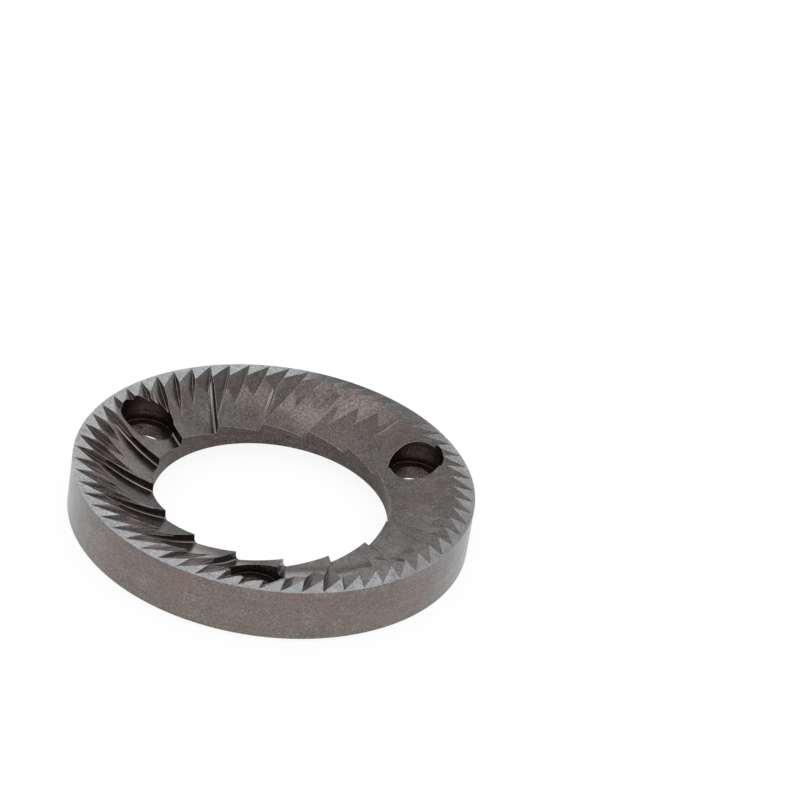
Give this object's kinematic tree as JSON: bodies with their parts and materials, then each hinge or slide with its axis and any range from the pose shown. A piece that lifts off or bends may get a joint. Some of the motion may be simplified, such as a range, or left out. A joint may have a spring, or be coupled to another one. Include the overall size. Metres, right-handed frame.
{
  "type": "coffee grinder burr",
  "caption": "Flat ring burr of hardened steel for a coffee grinder: slanted coarse teeth at the bore run into fine teeth at the rim, with counterbored screw holes.",
  "frame": {"origin": "on the ring's axis, in the plane of the ground seat on its back", "axes": "+Z along the axis towards the teeth; +X through the point of one fine groove; the first screw hole lies 28.5 degrees counter-clockwise from +X, seen from the teeth"},
  "size_m": [0.064, 0.064, 0.0092],
  "materials": {
    "hardened_steel": "hardened tool steel, dull brown-grey with fine grain, ground bright on the tooth lands and the seat"
  },
  "bodies": {
    "root": {"grinding_burr": "hardened_steel"}
  },
  "joints": []
}
